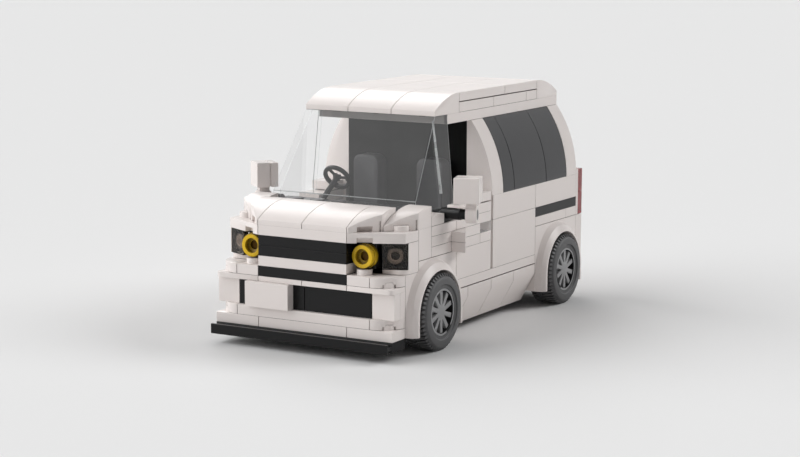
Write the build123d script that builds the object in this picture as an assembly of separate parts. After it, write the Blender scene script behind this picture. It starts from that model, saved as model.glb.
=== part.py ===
from build123d import *
from math import asin, atan2, cos, degrees, radians, sin
import os

# A brick-built toy kei van, eight studs wide, rolling on four tyres.
# Millimetres. +Z up, the nose towards -Y, the van's left side towards +X.
# The origin lies on the ground, in the middle of the van's length and width.
# Grid places: studs along X from the centreline, studs along Y from the bumper's face,
# plates along Z from the splitter's underside.

# ---------------------------------------------------------------- building grid
PITCH = 8.0            # one stud to the next
PLATE = 3.2            # height of a plate, a third of a brick
PLAY = 0.1             # what each side of a brick gives up so that neighbours slide in
SEAT = 0.08            # hairline between a brick and the one that it stands on
STUD_R = 2.4
STUD_H = 1.7
BAR_R = 1.6            # handle bar that a clip grips
CLIP_WALL = 1.1
CLIP_PLAY = 0.05
THIN = 1.6             # wall of a bracket and lip of a curved slope
GROOVE = 0.35          # height of the slot round the foot of a tile
GROOVE_IN = 0.8        # its depth

# ---------------------------------------------------------------- body, in studs and plates
SIDE = 4               # body side
INNER = 3              # cabin side and roof edge
TAIL = 16              # tailgate face
FLOOR = 3              # underside of the floor plates
ARCH_TOP = 8
BELT = 12.5            # foot of the side windows
EAVES = 20             # underside of the roof
ROOF = EAVES + 3
HOOD = 11              # underside of the hood slopes
COWL = 13              # crown of the hood slopes
SHELF = 12             # top of the dashboard
DOOR_EDGE = 7.94       # rear edge of the front door
PANEL_START = 8.1      # front edge of the rear door
PANEL_END = TAIL - 4   # rear edge of the rear door, and of the sill

# ---------------------------------------------------------------- running gear
TYRE_R = 12.0
TYRE_W = 10.0
TYRE_SHOULDER = 1.2
BEAD_PLAY = 0.02       # hairline between the tyre and the rim
RIM_R = 7.4
RIM_WALL = 0.8
RIM_IN = 0.6           # barrel edge behind the tyre's outer wall
SPOKES = 10
SPOKE_FOOT = 1.2       # spoke width at the hub and at the barrel
SPOKE_HEAD = 1.6
SPOKE_T = 1.2
HUB_IN = 1.0           # hub face behind the tyre's outer wall
HUB_FACE_R = 2.5
HUB_R = 3.6
HUB_FLOOR = 0.4        # from the spokes' back to the end of the bore
PIN_R = 2.4
PIN_PLAY = 0.06        # running clearance of a wheel on its pin
PIN_END = 0.5          # from the pin's end to the end of the bore
AXLE_UP = 9.0          # axle centre above the splitter's underside
FRONT_AXLE = 3         # studs behind the bumper face
REAR_AXLE = TAIL - 2
HUB_GAP = 2.5          # from the chassis to the tyre's inner wall
TRACK_OUT = INNER * PITCH + HUB_GAP + TYRE_W    # outer tyre wall from the centreline
ARCH_GAP = 1.0         # from the tyre's tread to the arch over it
ARCH_R = TYRE_R + ARCH_GAP
ARCH_HALF = 2          # studs from the axle to each end of an arch
FLARE = 3.4            # how far an arch stands out of the side
CROWN_A = ARCH_R + 2.6     # half width and height of the arch's outline above the axle
CROWN_B = ARCH_R + 3.2

# ---------------------------------------------------------------- reach past the grid
RAIL_REACH = 3.0       # splitter rail in front of the bumper face
RAIL_T = 1.0
LENS_T = 3.2           # a lamp lens is a tile on its side
TAIL_REACH = THIN + LENS_T

PI_4 = atan2(1, 1)
GROUND = TYRE_R - AXLE_UP
CABIN_HALF = INNER * PITCH - THIN      # back of the side slopes
Y_MID = (TAIL * PITCH + TAIL_REACH - RAIL_REACH) / 2


# ---------------------------------------------------------------- grid helpers
def gx(studs):
    return studs * PITCH


def gy(studs):
    return studs * PITCH - Y_MID


def gz(plates):
    return plates * PLATE + GROUND


def slab(x0, x1, y0, y1, z0, z1):
    """A block between two corners in millimetres."""
    return Pos((x0 + x1) / 2, (y0 + y1) / 2, (z0 + z1) / 2) * Box(x1 - x0, y1 - y0, z1 - z0)


def brick(x0, x1, y0, y1, z0, z1):
    """A brick over a span of studs and plates, with play on its four sides."""
    return slab(gx(x0) + PLAY, gx(x1) - PLAY, gy(y0) + PLAY, gy(y1) - PLAY, gz(z0) + SEAT, gz(z1))


def tile(x0, x1, y0, y1, z0, z1):
    """A brick with the thin slot that a tile has round its foot."""
    full = brick(x0, x1, y0, y1, z0, z1)
    foot = slab(gx(x0), gx(x1), gy(y0), gy(y1), gz(z0), gz(z0) + GROOVE)
    inset = PLAY + GROOVE_IN
    core = slab(gx(x0) + inset, gx(x1) - inset, gy(y0) + inset, gy(y1) - inset, gz(z0), gz(z0) + GROOVE)
    return full - (foot - core)


def bricks(table):
    """One brick for each row of x0, x1, y0, y1 in studs and z0, z1 in plates."""
    return [brick(*row) for row in table]


def studs(places, level):
    """Studs on top of a plate level, at x, y places in studs."""
    return [Pos(gx(x), gy(y), gz(level) + STUD_H / 2) * Cylinder(STUD_R, STUD_H) for x, y in places]


def both_sides(shapes):
    """The shapes and their mirror images across the centreline."""
    return shapes + [mirror(shape, about=Plane.YZ) for shape in shapes]


def prism_x(edges, x0, x1):
    """A prism along X between two places in millimetres, over a closed outline in the YZ plane."""
    return Pos(x0, 0, 0) * extrude(make_face(edges), amount=x1 - x0, dir=(1, 0, 0))


def prism_y(points, y0, y1):
    """A prism along Y between two places in millimetres, over a closed outline of x, z points."""
    outline = Polyline([(x, 0, z) for x, z in points], close=True)
    return Pos(0, y0, 0) * extrude(make_face(outline.edges()), amount=y1 - y0, dir=(0, 1, 0))


def prism_z(outline, z0, z1):
    """An upright prism between two places in millimetres, over a closed outline in the XY plane."""
    return Pos(0, 0, z0) * extrude(make_face(outline.edges()), amount=z1 - z0, dir=(0, 0, 1))


def hood_section(y0, y1, z0, z1):
    """Outline of a curved slope: a lip at y0, a crown that runs level at y1."""
    lip = z0 + THIN
    run, rise = y1 - y0, z1 - lip
    radius = (run * run + rise * rise) / (2 * rise)
    half = asin(abs(run) / radius) / 2
    way = 1 if run > 0 else -1
    middle = (0, y1 - way * radius * sin(half), z1 - radius * (1 - cos(half)))
    return [
        Line((0, y0, z0), (0, y0, lip)),
        ThreePointArc((0, y0, lip), middle, (0, y1, z1)),
        Line((0, y1, z1), (0, y1, z0)),
        Line((0, y1, z0), (0, y0, z0)),
    ]


def curved_slope(x0, x1, low, high, z0, z1):
    """A curved slope over studs x0 to x1, from its lip at stud low to its crown at stud high."""
    way = 1 if high > low else -1
    outline = hood_section(gy(low) + way * PLAY, gy(high) - way * PLAY, gz(z0), gz(z1))
    return prism_x(outline, gx(x0) + PLAY, gx(x1) - PLAY)


NOTCH_W, NOTCH_UP = 4.0, 1.1   # the opening in the foot of a rounded corner plate


def quarter_round(x0, y0, z0, z1):
    """A one-stud plate whose outer front corner is a quarter of a circle, open at the foot over a stud."""
    radius, foot = PITCH - PLAY, gz(z0)
    block = slab(PLAY, radius, PLAY, radius, foot + SEAT, gz(z1))
    drum = Pos(0, PITCH, gz((z0 + z1) / 2)) * Cylinder(radius, gz(z1) - foot)
    pocket = Pos(PITCH / 2, PITCH / 2, foot) * Cylinder(STUD_R + CLIP_PLAY, 2 * (STUD_H + CLIP_PLAY))
    at_rim = Pos(radius * cos(PI_4), PITCH - radius * sin(PI_4), foot) * Rot(0, 0, -45)
    notch = at_rim * Box(NOTCH_W, NOTCH_W, 2 * NOTCH_UP)
    return Pos(gx(x0), gy(y0), 0) * ((block & drum) - pocket - notch)


# ---------------------------------------------------------------- nose
def splitter():
    """Black plate with a rail along its front edge."""
    plate = brick(-SIDE, SIDE, 0, 1, 0, 1)
    half, front = gx(SIDE) - PLAY, gy(0)
    middle = gz(0.5)
    web = slab(-half, half, front - RAIL_REACH, front + PLAY, middle - RAIL_T / 2, middle + RAIL_T / 2)
    rail = slab(-half, half, front - RAIL_REACH, front - RAIL_REACH + RAIL_T, gz(0), gz(1) - PLAY)
    return [plate + web + rail]


def bumper_rows():
    """Two courses over the splitter, the upper one with rounded corners over a stud."""
    low = bricks([(-SIDE, -2, 0, 1, 1, 2), (-2, 2, 0, 1, 1, 2), (2, SIDE, 0, 1, 1, 2)])
    left, right = studs([(-CORNER, 0.5), (CORNER, 0.5)], 2)
    courses = [low[0] + left, low[1], low[2] + right, brick(-INNER, INNER, 0, 1, 2, 3)]
    return courses + both_sides([quarter_round(INNER, 0, 2, 3)])


CORNER = (INNER + SIDE) / 2    # the outermost row of studs
LOWER_FACE = THIN      # the bumper's middle zone stands back by a bracket wall


def bumper_grille():
    """Black tiles on their sides, facing forward between the bumper's ends."""
    y0, y1 = gy(0) + LOWER_FACE, gy(0) + LOWER_FACE + PLATE
    z0, z1 = gz(3), gz(5.5)
    spans = [(-INNER, 0), (0, INNER)]
    return [slab(gx(a) + PLAY, gx(b) - PLAY, y0, y1, z0, z1) for a, b in spans]


def number_plate():
    """A blank white plate, half a stud off the grid."""
    y1 = gy(0) + LOWER_FACE
    return [slab(gx(-2.5) + PLAY, gx(-0.5) - PLAY, y1 - PLATE, y1, gz(3), gz(5.5))]


def bumper_ends():
    """Two white plates on their sides, one behind the other, at each end of the bumper."""
    y0 = gy(0) + LOWER_FACE
    layers = [(y0, y0 + PLATE), (y0 + PLATE + SEAT, gy(1) - PLAY)]
    x0, x1 = gx(INNER) + PLAY, gx(SIDE) - PLAY
    return both_sides([slab(x0, x1, front, back, gz(3), gz(5.5)) for front, back in layers])


def bumper_core():
    """Black bricks that carry the tiles of the bumper."""
    y0 = gy(0) + LOWER_FACE + PLATE
    return [slab(gx(-INNER) + PLAY, gx(INNER) - PLAY, y0, gy(1) - PLAY, gz(3), gz(5.5))]


def bumper_shelf():
    """Thin bracket shelves with rounded outer corners and a stud near each end."""
    z0, z1 = gz(5.5), gz(6)
    middle = [slab(gx(a) + PLAY, gx(b) - PLAY, gy(0), gy(1) - PLAY, z0, z1) for a, b in ((-2, 0), (0, 2))]
    end = slab(gx(2) + PLAY, gx(SIDE) - PLAY, gy(0), gy(1) - PLAY, z0, z1)
    corner = end.edges().filter_by(Axis.Z).sort_by(lambda e: e.center().X - e.center().Y)[-1]
    return middle + both_sides([fillet(corner, THIN) + studs([(CORNER, 0.5)], 6)[0]])


def bumper_upper():
    """White plates over the shelf, with the stud under each round lamp."""
    inner = brick(2, 3, 0, 1, 6, 7)
    corner = quarter_round(INNER, 0, 6, 7)
    return both_sides([inner + studs([(2.5, 0.5)], 7)[0], corner])


def grille_black():
    """Black plates of the grille."""
    return bricks([(-2, 2, 0, 1, 6, 7), (-2, 2, 0, 1, 8, 9), (-2, 2, 0, 1, 9, 10)])


def grille_white():
    """White plates between and over the black ones."""
    return bricks([(-2, 2, 0, 1, 7, 8), (-2, 2, 0, 1, 10, 11)])


# ---------------------------------------------------------------- lamps
LAMP_Y = 2.4           # face of a round lamp behind the bumper face
LAMP_UP = 8.75         # lamp centres, in plates
LAMP_TOP = 10
RING_R = 3.55          # smaller front step of a round lamp
RING_CUP_R = 2.35
RING_HOLE_R = 1.45
COVER_X, COVER_Y = 28.7, 7.2   # middle of a corner lamp's face
COVER_W = 7.8
COVER_YAW = degrees(atan2(1, 2))   # along the cut edge of the wing plate
COVER_SKIN = 1.2       # wall of a corner lamp's tile in front of its hollow
HOUSING_BACK = 2       # rear end of the lamp housings, in studs
LEDGE_R = 3.0


def lamp_rings():
    """Round yellow plates in two steps, cupped in front and pierced behind."""
    step = PLATE / 2
    flange = Pos(0, 0, -step / 2) * (Cylinder(PITCH / 2 - PLAY, step) - Cylinder(RING_HOLE_R, step))
    rim = Pos(0, 0, step / 2) * (Cylinder(RING_R, step) - Cylinder(RING_CUP_R, step))
    ring = Pos(gx(2.5), gy(0) + LAMP_Y + step, gz(LAMP_UP)) * Rot(90, 0, 0) * (flange + rim)
    return both_sides([ring])


def at_cover(shape):
    """Turn a shape to the corner lamp: its face on the XZ plane, looking along -Y."""
    place = Pos(COVER_X, gy(0) + COVER_Y, gz((7.5 + LAMP_TOP) / 2))
    return place * Rot(0, 0, COVER_YAW) * shape


def lamp_blocks():
    """Black bricks behind the lamps."""
    y0 = gy(0) + LAMP_Y + PLATE
    inner = slab(gx(2) + PLAY, gx(3) - 1.0, y0, gy(HOUSING_BACK) - PLAY, gz(7) + STUD_H, gz(LAMP_TOP))
    return both_sides([inner])


def lamp_covers():
    """Smoky square tiles, turned outwards, hollow behind."""
    height = gz(LAMP_TOP) - gz(7.5) - SEAT
    block = Pos(0, LENS_T / 2, 0) * Box(COVER_W, LENS_T, height)
    hollow = Pos(0, LENS_T, 0) * Box(2 * STUD_R + 0.1, 2 * (LENS_T - COVER_SKIN), 2 * STUD_R + 0.1)
    return both_sides([at_cover(block - hollow)])


def lamp_housings():
    """White bricks that hold the corner lamps on a hollow stud, over a ledge with a round corner."""
    z0, z1 = gz(7.5), gz(LAMP_TOP)
    back = slab(gx(INNER) + PLAY, gx(SIDE) - PLAY, gy(0.5), gy(HOUSING_BACK) - PLAY, z0, z1)
    clear = at_cover(Pos(0, LENS_T / 2, 0) * Box(COVER_W + 2 * PLAY, LENS_T, 2 * PITCH))
    clear += at_cover(Pos(0, 0.3 - PITCH, 0) * Box(4 * PITCH, 2 * PITCH, 2 * PITCH))
    clear += at_cover(Pos(-PITCH, LENS_T / 2, 0) * Box(PITCH, LENS_T, 2 * PITCH))
    stud = Cylinder(STUD_R, STUD_H) - Cylinder(1.5, STUD_H)
    stud = at_cover(Pos(0, LENS_T - STUD_H / 2, 0) * Rot(90, 0, 0) * stud)
    x0, x1, y1 = gx(INNER) + PLAY, gx(SIDE) - PLAY, gy(HOUSING_BACK) - PLAY
    ledge = slab(x0, x1, gy(1) + PLAY - 0.5, y1, gz(7) + SEAT, z0)
    corner = ledge.edges().filter_by(Axis.Z).sort_by(lambda e: e.center().X - e.center().Y)[-1]
    return both_sides([back - clear + stud + fillet(corner, LEDGE_R)])


# ---------------------------------------------------------------- hood and wings
SLIT_AT = 7.4          # the slit near the rear end of a cut face


def wing_plates():
    """Plates with a slanted front edge, each with one bare stud and a notch for the stud below."""
    x0, x1, y0, y1 = gx(2) + PLAY, gx(SIDE) - PLAY, gy(0) + PLAY, gy(HOUSING_BACK) - PLAY
    outline = Polyline([(x0, y0), (x1, y0 + PITCH), (x1, y1), (x0, y1)], close=True)
    plate = prism_z(outline, gz(10) + SEAT, gz(HOOD))
    notch = Rot(0, 0, COVER_YAW) * Pos(5.5, 0, 0) * Box(2 * STUD_R, 4.0, 2 * STUD_H)
    plate -= Pos(gx(2), gy(0), gz(10)) * notch
    return both_sides([plate + studs([(CORNER, 1.5)], HOOD)[0]])


def cut_slope(x0, y0):
    """A curved slope with its outer front corner cut off, open at the foot over a stud."""
    slope = curved_slope(x0, x0 + 1, y0, y0 + 2, HOOD, COWL)
    x, y, foot, top = gx(x0), gy(y0), gz(HOOD), gz(COWL)
    outline = Polyline([(0.5, -1), (0.5, PLAY), (PITCH + 1, PITCH + 1), (PITCH + 1, -1)], close=True)
    corner = prism_z(outline, 0, top - foot + 2)
    mouth = Pos(PITCH / 2, PITCH / 2, 0) * Cylinder(STUD_R + 0.05, 2 * (STUD_H + 0.05))
    slit = Pos(SLIT_AT, SLIT_AT, 0) * Rot(0, 0, 45) * Box(0.5, 1.2, 2 * PLATE)
    return slope - Pos(x, y, foot - 1) * corner - Pos(x, y, foot) * mouth - Pos(x, y, foot) * slit


def hood_slopes():
    """Two wide slopes in the middle, and two corner-cut ones each side, stepping back."""
    return both_sides([curved_slope(0, 2, 0, 2, HOOD, COWL), cut_slope(2, 0), cut_slope(INNER, 1)])


def cowl():
    """White bricks outboard of the windscreen's foot."""
    return both_sides([brick(INNER, SIDE, 3, 4, HOOD, SHELF)])


def nose_core():
    """Bricks inside the nose that carry the hood and the dashboard."""
    return bricks([(-2, 2, 1, 3, 4, HOOD)])


# ---------------------------------------------------------------- sides
SILL_LEAN = 5.2        # how far a sill leans in at its foot
BLOCK_REACH = 5.0      # how far the wedge block stands out of the front door
BLOCK_FLAT = 0.4       # the short side of its outline, and its length
BLOCK_LEN = 9.4


def wing_rows():
    """Plates above the front arch, and the upright tile beside the lamp."""
    rows = [brick(INNER, SIDE, 3, 5, z, z + 1) for z in (8, 9, 10)]
    return both_sides(rows + [brick(INNER, SIDE, HOUSING_BACK, 3, 8, 11)])


def sill_tiles():
    """Long tiles on top of the sills."""
    return both_sides([tile(INNER, SIDE, 5, PANEL_END, 4, 5)])


def sills():
    """Upright strip over a face that leans inwards to the ground."""
    outer, inner = gx(SIDE) - PLAY, gx(INNER) + PLAY
    points = [(inner, gz(0)), (outer - SILL_LEAN, gz(0)), (outer, gz(3)), (outer, gz(4)), (inner, gz(4))]
    joints = (5, 6, 8, 10, PANEL_END)
    return both_sides([prism_y(points, gy(y0) + PLAY, gy(y1) - PLAY) for y0, y1 in zip(joints, joints[1:])])


def front_doors():
    """Front door: one panel with plate rows above it, up to the open window."""
    table = [  # y0, y1, z0, z1
        (5, DOOR_EDGE, 5, 8), (5, 7, 8, 9), (7, DOOR_EDGE, 8, 9), (5, 7, 9, 10),
        (5, DOOR_EDGE, 10, 11), (6, DOOR_EDGE, 11, 12)]
    rows = [brick(INNER, SIDE, y0, y1, z0, z1) for y0, y1, z0, z1 in table]
    return both_sides(rows + [tile(INNER, SIDE, 7, DOOR_EDGE, 12, 13)])


def door_handles():
    """Clear clip in the row under the belt, with a small bulge."""
    plate = brick(INNER, SIDE, 7, DOOR_EDGE, 9, 10)
    bulge = slab(gx(SIDE) - 1, gx(SIDE) + 0.6, gy(7.5) - 2, gy(7.5) + 2, gz(9) + 0.5, gz(10) - 0.5)
    return both_sides([plate + bulge])


def door_blocks():
    """Wedge blocks that stand out of the front doors, flat in front and running out behind."""
    x0, y0 = gx(SIDE) - PLAY, gy(4.575)
    x1, y1 = x0 + BLOCK_REACH, y0 + BLOCK_FLAT
    outline = Polyline([(x0, y0), (x1, y0), (x1, y1), (x0, y0 + BLOCK_LEN)], close=True)
    return both_sides([prism_z(outline, gz(z) + SEAT, gz(z + 1)) for z in (8, 9)])


def rear_doors():
    """Smooth panel behind the front door."""
    return both_sides([brick(INNER, SIDE, PANEL_START, PANEL_END, 5, 10)])


def belt_panels():
    """Panels under the side windows."""
    spans = ((PANEL_START, PANEL_END), (PANEL_END, TAIL))
    return both_sides([brick(INNER, SIDE, y0, y1, 10, BELT) for y0, y1 in spans])


def side_stripes():
    """Black plates over the rear arch, level with the door handle."""
    return both_sides([brick(INNER, SIDE, PANEL_END, TAIL, 9, 10)])


def quarter_rows():
    """Plates over the rear arch."""
    spans = ((PANEL_END, TAIL - 1), (TAIL - 1, TAIL))
    return both_sides([brick(INNER, SIDE, y0, y1, ARCH_TOP, 9) for y0, y1 in spans])


def side_slope(y0, y1):
    """A curved slope on its side, thick at the belt and thin at the eaves."""
    inner = CABIN_HALF
    lean, rise = gx(SIDE) - PLAY - gx(INNER), gz(EAVES) - gz(BELT)
    radius = (lean * lean + rise * rise) / (2 * lean)
    half = asin(rise / radius) / 2
    centre = gx(SIDE) - PLAY - radius
    foot, head = (gx(SIDE) - PLAY, 0, gz(BELT)), (gx(INNER), 0, gz(EAVES))
    middle = (centre + radius * cos(half), 0, gz(BELT) + radius * sin(half))
    edges = [
        Line((inner, 0, gz(BELT)), foot),
        ThreePointArc(foot, middle, head),
        Line(head, (inner, 0, gz(EAVES))),
        Line((inner, 0, gz(EAVES)), (inner, 0, gz(BELT))),
    ]
    length = gy(y1) - gy(y0) - 2 * PLAY
    return Pos(0, gy(y0) + PLAY, 0) * extrude(make_face(edges), amount=length, dir=(0, 1, 0))


def side_windows():
    """Dark slopes in place of side glass."""
    spans = ((9, 10), (10, TAIL - 3), (TAIL - 3, TAIL - 1))
    return both_sides([side_slope(y0, y1) for y0, y1 in spans])


def pillars():
    """White slopes ahead of the side windows and behind them."""
    return both_sides([side_slope(8, 9), side_slope(TAIL - 1, TAIL)])


# ---------------------------------------------------------------- roof
GLASS_T = 1.5
GLASS_SPREAD = 2.2     # how far the glass widens towards its foot
GLASS_FOOT = 3         # studs
GLASS_HEAD = 5
GLASS_BACK = 6
GLASS_RAIL = 13.25     # top of the upright rail at the glass's foot
LANES = ((-INNER, -1), (-1, 1), (1, INNER))    # widths of the roof's tiles and slopes
ROOF_END = TAIL - 2                            # where the rear slopes begin


def roof_plates():
    """One large plate that ties the sides together."""
    return bricks([(-INNER, INNER, GLASS_BACK, TAIL, EAVES, EAVES + 1)])


def roof_rows():
    """Plates under the roof tiles."""
    spans = ((7, 10), (10, TAIL - 3), (TAIL - 3, ROOF_END))
    return [brick(-INNER, INNER, y0, y1, EAVES + 1, EAVES + 2) for y0, y1 in spans]


def roof_tiles():
    """Smooth tiles in three lanes, from the front slopes to the rear ones."""
    return [tile(a, b, y0, y1, EAVES + 2, ROOF) for a, b in LANES for y0, y1 in ((7, 11), (11, ROOF_END))]


def roof_front():
    """Curved slopes over the windscreen's head."""
    return [curved_slope(x0, x1, GLASS_HEAD, 7, EAVES + 1, ROOF) for x0, x1 in LANES]


def roof_rear():
    """Curved slopes down to the tailgate."""
    return [curved_slope(x0, x1, TAIL, ROOF_END, EAVES + 1, ROOF) for x0, x1 in LANES]


# ---------------------------------------------------------------- glass and cabin
def windscreen():
    """Clear wedge: a leaning pane, two side panes and the upright rail at their foot."""
    floor, foot, head = gz(SHELF) + SEAT, gz(GLASS_RAIL), gz(EAVES + 1)
    y0, y1, y2 = gy(GLASS_FOOT) + PLAY, gy(GLASS_HEAD) + PLAY, gy(GLASS_BACK) - PLAY

    def shell(inset):
        """Rail and panes as one solid block, drawn in from its front and sides."""
        low, high = gx(INNER) + GLASS_SPREAD - inset, gx(INNER) - PLAY - inset
        front, crown = y0 + inset, y1 + inset
        sides = prism_y([(-low, foot), (low, foot), (high, head), (-high, head)], front, y2)
        profile = Polyline([(0, front, foot), (0, y2, foot), (0, y2, head), (0, crown, head)], close=True)
        return (sides & prism_x(profile.edges(), -low, low)) + slab(-low, low, front, y2, floor, foot)

    return [shell(0) - shell(GLASS_T)]


def dashboard():
    """Black wall ahead of the cabin, and the studded shelf that the windscreen's foot goes round."""
    wall = slab(PLAY - CABIN_HALF, CABIN_HALF - PLAY, gy(3) + PLAY, gy(4) - PLAY, gz(4) + SEAT, gz(HOOD))
    shelf = brick(-INNER, INNER, 2, 5, HOOD, SHELF)
    places = [(x + 0.5, 3.5) for x in range(-INNER, INNER)]
    return [wall, shelf + studs(places, SHELF)]


def wheel_wells():
    """Black bricks that close the wheel wells from inside."""
    rear = (REAR_AXLE - ARCH_HALF, REAR_AXLE + 1, ARCH_TOP)
    spans = [(1, 3, 7), (4, 5, ARCH_TOP), rear]
    return both_sides([brick(2, INNER, y0, y1, 4, top) for y0, y1, top in spans])


WHEEL_R, WHEEL_RIM = 4.9, 1.3  # steering wheel, outer radius and width of its rim
WHEEL_X, WHEEL_Y, WHEEL_UP = -17, 6, 13.9    # its middle: millimetres, studs, plates
WHEEL_RAKE = 55                # lean of its column from upright
COLUMN_R, COLUMN_LEN = 0.9, 13


def steering_wheel():
    """Rim, three spokes and a short column, leaning towards the seat."""
    inner = WHEEL_R - WHEEL_RIM
    rim = Cylinder(WHEEL_R, WHEEL_RIM) - Cylinder(inner, WHEEL_RIM)
    hub = Cylinder(1.2, 1.2)
    column = Pos(0, 0, -COLUMN_LEN / 2) * Cylinder(COLUMN_R, COLUMN_LEN)
    bars = [Rot(0, 0, 120 * k) * Pos(inner / 2, 0, 0) * Box(inner + 0.4, 1.0, 0.8) for k in range(3)]
    wheel = Pos(WHEEL_X, gy(WHEEL_Y), gz(WHEEL_UP)) * Rot(-WHEEL_RAKE, 0, 0) * (rim + hub + column + bars)
    return [wheel - slab(-gx(SIDE), 0, gy(3), gy(5) - PLAY, gz(FLOOR), gz(SHELF))]


SEAT_X, SEAT_HALF = 1.5, 0.6    # middle and half width of a seat, in studs
SEAT_FRONT, SEAT_REST, SEAT_BACK = 6, 7.2, 7.95
CUSHION_UP, REST_UP = 9, 16     # plates


def seats():
    """Cushion and back of each seat."""
    pieces = []
    for x in (-SEAT_X, SEAT_X):
        x0, x1 = x - SEAT_HALF, x + SEAT_HALF
        cushion = brick(x0, x1, SEAT_FRONT, SEAT_BACK, 4, CUSHION_UP)
        pieces.append(cushion + brick(x0, x1, SEAT_REST, SEAT_BACK, CUSHION_UP - 0.5, REST_UP))
    return pieces


def bulkhead():
    """Black wall behind the seats."""
    return [slab(PLAY - CABIN_HALF, CABIN_HALF - PLAY, gy(8) + PLAY, gy(9) - PLAY, gz(4) + SEAT, gz(EAVES))]


# ---------------------------------------------------------------- mirrors
MIRROR_Y = 4.5         # studs
MIRRORS = (            # which side, middle of the head from the centreline, angle swept back
    (1, 38.0, 18),
    (-1, 37.55, 40))
HEAD_W, HEAD_D, HEAD_UP = 8.0, 7.2, 8.0
HEAD_SEAM = 1.0        # seam of the head behind its middle
HEAD_WALL = 1.0
HEAD_POCKET = 1.5      # how deep the head is hollow from below
MIRROR_BAR = 11.85     # plates
MIRROR_FOOT = 13
CLIP_AT, CLIP_LEN, NECK_W = 1.3, 3.5, 3.2
BAR_BEND = 2.6         # where the bar turns, short of the head's middle
STEM_R = 1.8           # straight length between the plate and the bend
STEM_START = 29.5


def at_mirror(shape, out, yaw):
    return Pos(out, gy(MIRROR_Y), 0) * Rot(0, 0, yaw) * shape


def on_side(shape, way):
    return shape if way > 0 else mirror(shape, about=Plane.YZ)


def mirror_arm(out, yaw):
    """Black plate with a handle bar that bends back to the mirror's angle."""
    block = brick(INNER, 3.9, 4, 5, HOOD, SHELF)
    turn = radians(yaw)
    x, y = out - BAR_BEND * cos(turn), gy(MIRROR_Y) - BAR_BEND * sin(turn)
    reach = x + STEM_R / 3 - STEM_START
    stem = Pos(STEM_START + reach / 2, y, gz(MIRROR_BAR)) * Rot(0, 90, 0) * Cylinder(STEM_R, reach)
    length = BAR_BEND + CLIP_AT + CLIP_LEN / 2
    bar = Pos(length / 2 - BAR_BEND, 0, gz(MIRROR_BAR)) * Rot(0, 90, 0) * Cylinder(BAR_R, length)
    return block + stem + at_mirror(bar, out, yaw)


def mirror_arms():
    """The arm of each mirror."""
    return [on_side(mirror_arm(out, yaw), way) for way, out, yaw in MIRRORS]


def mirror_clips():
    """A clip round each bar, with the neck that carries the head."""
    hole = BAR_R + CLIP_PLAY
    barrel = Rot(0, 90, 0) * Cylinder(hole + CLIP_WALL, CLIP_LEN)
    rise = (MIRROR_FOOT - MIRROR_BAR) * PLATE + HEAD_POCKET
    neck = Pos(0, 0, (hole + rise) / 2) * Box(NECK_W, 2 * hole, rise - hole)
    clip = Pos(CLIP_AT, 0, gz(MIRROR_BAR)) * (barrel + neck - Rot(0, 90, 0) * Cylinder(hole, CLIP_LEN))
    return [on_side(at_mirror(clip, out, yaw), way) for way, out, yaw in MIRRORS]


def mirror_heads():
    """Square heads with a seam all round, hollow from below."""
    x, y, z0, z1 = HEAD_W / 2, HEAD_D / 2, gz(MIRROR_FOOT), gz(MIRROR_FOOT) + HEAD_UP
    head = slab(-x, x, -y, y, z0, z1)
    pocket = slab(HEAD_WALL - x, x - HEAD_WALL, HEAD_WALL - y, y - HEAD_WALL, z0, z0 + HEAD_POCKET)
    band = slab(-x, x, HEAD_SEAM - GROOVE / 2, HEAD_SEAM + GROOVE / 2, z0, z1)
    core = slab(GROOVE - x, x - GROOVE, -y, y, z0 + GROOVE, z1 - GROOVE)
    head -= pocket + (band - core)
    return [on_side(at_mirror(head, out, yaw), way) for way, out, yaw in MIRRORS]


# ---------------------------------------------------------------- tail
LAMPS_TOP = 13         # plates


def tailgate():
    """White wall that closes the load space."""
    y0, y1 = gy(TAIL - 1) + PLAY, gy(TAIL) - PLAY
    return [slab(PLAY - CABIN_HALF, CABIN_HALF - PLAY, y0, y1, gz(4) + SEAT, gz(EAVES))]


def tail_brackets():
    """Upright plates that carry the tail lamps."""
    plate = slab(gx(INNER) + PLAY, gx(SIDE) - PLAY, gy(TAIL), gy(TAIL) + THIN, gz(8), gz(LAMPS_TOP))
    return both_sides([plate])


def tail_lamps():
    """Two red lenses, one above the other, on each bracket."""
    y0, x0, x1 = gy(TAIL) + THIN, gx(INNER) + PLAY, gx(SIDE) - PLAY
    heights = ((8, 10.5), (10.5, LAMPS_TOP))
    return both_sides([slab(x0, x1, y0, y0 + LENS_T, gz(low) + PLAY, gz(high)) for low, high in heights])


def rear_bumper():
    """Full-width bumper under the tail lamps."""
    half = gx(SIDE) - PLAY
    return [slab(-half, half, gy(TAIL), gy(TAIL) + TAIL_REACH, gz(2), gz(8) - PLAY)]


# ---------------------------------------------------------------- chassis and wheels
def floor_plates():
    """Three plates end to end under the cabin and the load space."""
    spans = ((1, 5), (5, PANEL_END), (PANEL_END, TAIL))
    return bricks([(-INNER, INNER, y0, y1, FLOOR, 4) for y0, y1 in spans])


def axle_holder(axle):
    """Plate with a wheel pin at each end."""
    plate = brick(-INNER, INNER, axle - 1, axle + 1, 2, FLOOR)
    centre = gz(0) + AXLE_UP
    length = TRACK_OUT - HUB_IN - SPOKE_T - HUB_FLOOR - PIN_END - gx(INNER)
    pin = Pos(gx(INNER) - PLAY + length / 2, gy(axle), centre) * Rot(0, 90, 0) * Cylinder(PIN_R, length)
    return [plate + both_sides([pin])]


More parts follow.
